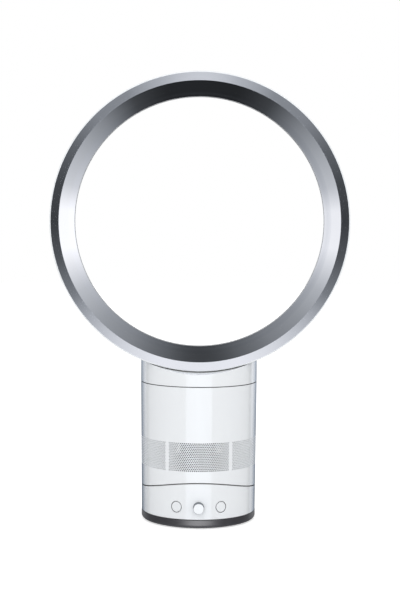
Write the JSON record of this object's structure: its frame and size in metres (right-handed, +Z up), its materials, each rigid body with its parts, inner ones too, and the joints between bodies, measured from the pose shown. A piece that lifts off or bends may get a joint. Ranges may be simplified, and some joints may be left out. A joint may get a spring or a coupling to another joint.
{
  "type": "bladeless fan",
  "caption": "Bladeless desk fan: a silver-lined white loop on a cylindrical body that swings and tilts, with two buttons and a speed dial.",
  "frame": {"origin": "on the floor, under the vertical axis of the body", "axes": "+Z up, the air leaves the loop towards -Y, +X to the right as seen from the front"},
  "size_m": [0.3559, 0.1472, 0.537],
  "materials": {
    "gloss_white": "glossy moulded plastic",
    "silver": "satin metallic paint on plastic",
    "dark_foot": "fine grained matte plastic",
    "dial": "glossy moulded plastic",
    "rubber": "soft matte rubber",
    "grey_plastic": "moulded plastic",
    "acetal": "smooth acetal",
    "steel": "zinc plated steel",
    "foam": "open cell foam",
    "board": "circuit board",
    "black_plastic": "moulded plastic",
    "copper": "enamelled winding wire",
    "magnet": "sintered magnet",
    "brass": "turned brass"
  },
  "bodies": {
    "foot": {"base_plate": "dark_foot", "rubber_foot": "rubber", "cable_gland": "rubber", "swing_gear": "acetal", "gear_screws": "steel", "slip_race": "acetal", "retaining_ring": "steel"},
    "lower_body": {"turntable": "grey_plastic", "lower_casing": "gloss_white", "casing_screws": "steel", "tilt_cradle": "grey_plastic", "cradle_screws": "steel", "glide_pads": "acetal", "swing_motor": "steel", "swing_motor_screws": "steel", "control_board": "board", "switch_holder": "grey_plastic", "push_switches": "black_plastic", "dial_encoder": "black_plastic"},
    "pinion": {"swing_pinion": "acetal"},
    "dial": {"speed_dial": "dial", "dial_shaft": "steel"},
    "power": {"power_button": "gloss_white", "power_spring": "steel"},
    "swing_key": {"swing_button": "gloss_white", "swing_spring": "steel"},
    "upper_body": {"motor_casing": "gloss_white", "tilt_shoe": "grey_plastic", "tilt_rails": "acetal", "rail_screws": "steel", "shoe_screws": "steel", "foam_disc": "foam", "impeller_housing": "grey_plastic", "lip_seal": "rubber", "rubber_mounts": "rubber", "foam_ring": "foam", "diffuser_vanes": "grey_plastic", "bucket_lower": "grey_plastic", "bucket_upper": "grey_plastic", "bucket_screws": "steel", "motor_stator": "copper", "motor_bearings": "steel", "driver_board": "board", "bayonet_ring": "grey_plastic", "nozzle_seal": "rubber"},
    "rotor": {"impeller": "black_plastic", "motor_shaft": "steel", "rotor_magnet": "magnet", "impeller_nut": "brass"},
    "nozzle": {"loop_outer_shell": "gloss_white", "loop_inner_shell": "silver", "neck": "gloss_white"}
  },
  "joints": [
    {"name": "swing", "type": "hinge", "parent": "foot", "child": "lower_body", "pos_m": [0, 0, 0.012], "axis": [0, 0, 1], "range_deg": [-45, 45]},
    {"name": "pinion_spin", "type": "hinge", "parent": "lower_body", "child": "pinion", "pos_m": [0, 0.03, 0.0085], "axis": [0, 0, 1], "range_deg": [-180, 180]},
    {"name": "dial_turn", "type": "hinge", "parent": "lower_body", "child": "dial", "pos_m": [0, -0.0765, 0.0255], "axis": [0, 1, 0], "range_deg": [0, 270]},
    {"name": "power_press", "type": "slide", "parent": "lower_body", "child": "power", "axis": [-0.3811, 0.9245, 0], "range_m": [0, 0.0012], "stiffness_N_per_m": 400, "springref_m": -0.002, "deforming": ["power_spring"]},
    {"name": "swing_press", "type": "slide", "parent": "lower_body", "child": "swing_key", "axis": [0.3811, 0.9245, 0], "range_m": [0, 0.0012], "stiffness_N_per_m": 400, "springref_m": -0.002, "deforming": ["swing_spring"]},
    {"name": "tilt", "type": "hinge", "parent": "lower_body", "child": "upper_body", "pos_m": [0, 0, 0.2392], "axis": [1, 0, 0], "range_deg": [-10, 10]},
    {"name": "rotor_spin", "type": "hinge", "parent": "upper_body", "child": "rotor", "pos_m": [0, 0, 0.125], "axis": [0, 0, 1], "continuous": true},
    {"name": "neck_twist", "type": "hinge", "parent": "upper_body", "child": "nozzle", "pos_m": [0, 0, 0.1657], "axis": [0, 0, 1], "range_deg": [0, 30]}
  ],
  "couplings": [
    {"joint": "pinion_spin", "follows": "swing", "ratio": 4}
  ]
}
